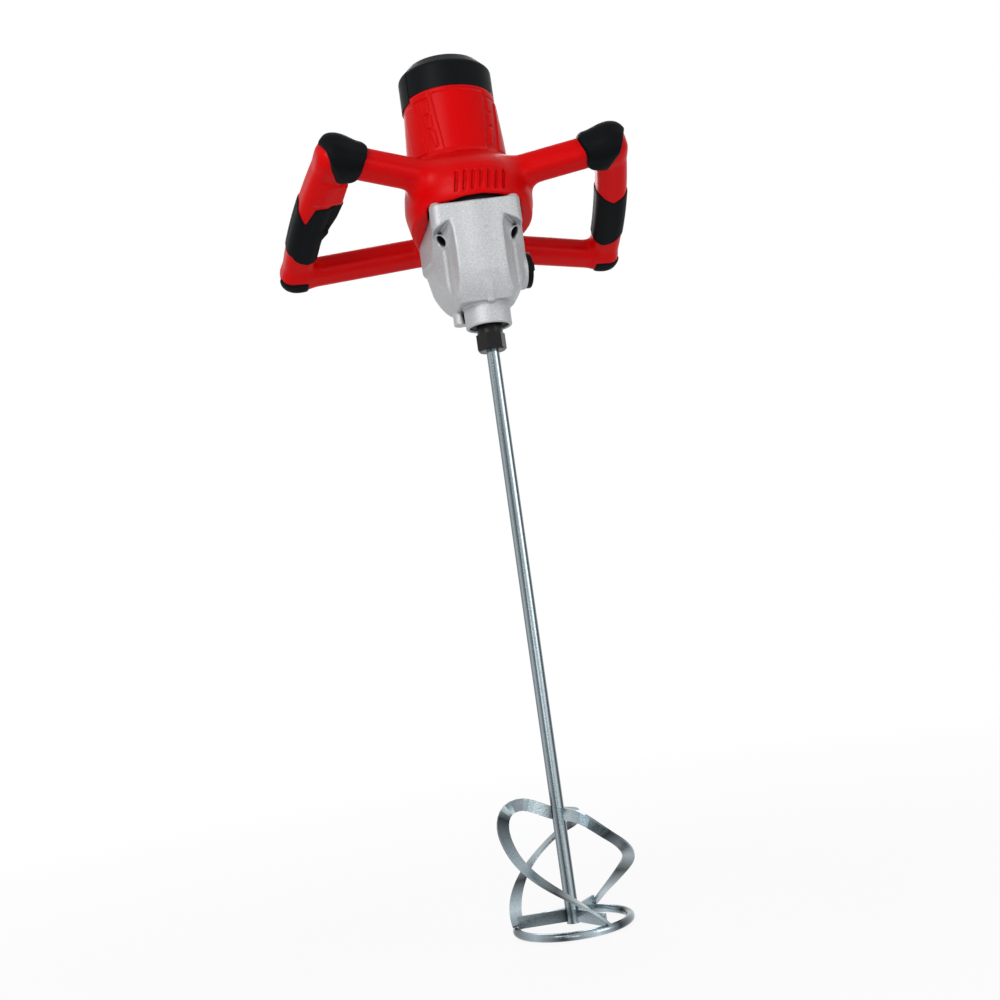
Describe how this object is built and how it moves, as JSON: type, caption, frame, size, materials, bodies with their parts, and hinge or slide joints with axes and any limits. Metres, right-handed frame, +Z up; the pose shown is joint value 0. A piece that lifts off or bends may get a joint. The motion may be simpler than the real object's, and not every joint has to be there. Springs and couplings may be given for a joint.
{
  "type": "mixing drill",
  "caption": "Two-handed mixing drill: upright motor housing over a cast gear case, looped side handles with trigger, and a long shaft ending in a spiral-blade stirrer with a ring foot.",
  "frame": {"origin": "centre of the gear case's nose rim, on the spindle axis", "axes": "+Z up along the spindle axis towards the motor, +X to the selector knob's side, -Y to the front"},
  "size_m": [0.3814, 0.199, 0.889],
  "materials": {
    "red_shell": "satin red moulded plastic",
    "black_plastic": "fine-textured black plastic",
    "soft_grip": "matt soft-touch rubber",
    "cast_aluminium": "blasted die casting",
    "black_steel": "black oxide",
    "gear_steel": "machined and oiled",
    "lamination_steel": "stacked laminations",
    "bearing_steel": "ground",
    "bronze_brass": "turned",
    "copper": "lacquered copper",
    "carbon": "pressed carbon",
    "zinc_steel": "bright zinc plate"
  },
  "bodies": {
    "body": {"motor_housing": "red_shell", "top_cap": "black_plastic", "cap_screws": "black_steel", "gear_case": "cast_aluminium", "bearing_plate": "black_steel", "gear_case_screws": "black_steel", "spindle_lower_bearing": "bearing_steel", "spindle_upper_bearing": "bearing_steel", "layshaft_lower_bush": "bronze_brass", "layshaft_upper_bush": "bronze_brass", "armature_lower_bearing": "bearing_steel", "armature_upper_bearing": "bearing_steel", "nose_seal": "soft_grip", "fork_rod": "gear_steel", "stator_core": "lamination_steel", "field_coils": "copper", "brush_bracket": "black_plastic", "brush_holders": "bronze_brass", "carbon_brushes": "carbon", "cable_inlet": "soft_grip", "left_handle_front": "red_shell", "left_handle_rear": "red_shell", "right_handle_front": "red_shell", "right_handle_rear": "red_shell", "left_grip_sleeve": "soft_grip", "right_grip_sleeve": "soft_grip", "left_upper_bumper": "soft_grip", "right_upper_bumper": "soft_grip", "left_lower_bumper": "soft_grip", "right_lower_bumper": "soft_grip", "handle_screws": "black_steel", "switch_module": "black_plastic", "trigger_pin": "gear_steel"},
    "output": {"spindle": "black_steel", "first_gear_wheel": "gear_steel", "second_gear_wheel": "gear_steel", "wheel_spacer": "gear_steel", "stirrer_shaft": "zinc_steel", "stirrer_ring": "zinc_steel", "stirrer_blade_a": "zinc_steel", "stirrer_blade_b": "zinc_steel", "stirrer_blade_c": "zinc_steel"},
    "countershaft": {"layshaft": "gear_steel", "drive_wheel": "gear_steel"},
    "cluster": {"sliding_gear_cluster": "gear_steel"},
    "fork": {"shift_fork": "gear_steel"},
    "selector": {"selector_knob": "black_plastic", "selector_crank": "gear_steel"},
    "rotor": {"armature_shaft": "gear_steel", "armature_core": "lamination_steel", "commutator": "copper", "cooling_fan": "black_plastic"},
    "trigger_lever": {"trigger": "black_plastic"},
    "lock": {"lock_button": "black_plastic"}
  },
  "joints": [
    {"name": "spindle_spin", "type": "hinge", "parent": "body", "child": "output", "pos_m": [0, 0, 0], "axis": [0, 0, 1], "continuous": true},
    {"name": "countershaft_spin", "type": "hinge", "parent": "body", "child": "countershaft", "pos_m": [0.0205, 0.02959, 0.06], "axis": [0, 0, 1], "continuous": true},
    {"name": "rotor_spin", "type": "hinge", "parent": "body", "child": "rotor", "pos_m": [0, 0.043, 0.18], "axis": [0, 0, 1], "continuous": true},
    {"name": "selector_turn", "type": "hinge", "parent": "body", "child": "selector", "pos_m": [0.045, 0.003, 0.057], "axis": [1, 0, 0], "range_deg": [0, 90]},
    {"name": "fork_slide", "type": "slide", "parent": "body", "child": "fork", "axis": [0, 0, 1], "range_m": [0, 0.015]},
    {"name": "cluster_slide", "type": "slide", "parent": "countershaft", "child": "cluster", "axis": [0, 0, 1], "range_m": [0, 0.015]},
    {"name": "trigger_pull", "type": "hinge", "parent": "body", "child": "trigger_lever", "pos_m": [-0.14572, 0.04563, 0.13258], "axis": [0, 0.3784, 0.9256], "range_deg": [0, 6], "stiffness_Nm_per_rad": 0.5, "springref_deg": -5.73},
    {"name": "lock_push", "type": "slide", "parent": "body", "child": "lock", "axis": [0, -0.3784, -0.9256], "range_m": [0, 0.002], "stiffness_N_per_m": 400, "springref_m": -0.002}
  ],
  "couplings": [
    {"joint": "countershaft_spin", "follows": "spindle_spin", "ratio": -3},
    {"joint": "rotor_spin", "follows": "spindle_spin", "ratio": 18},
    {"joint": "selector_turn", "follows": "fork_slide", "rad_per_m": 104.72},
    {"joint": "cluster_slide", "follows": "fork_slide", "ratio": 1}
  ]
}
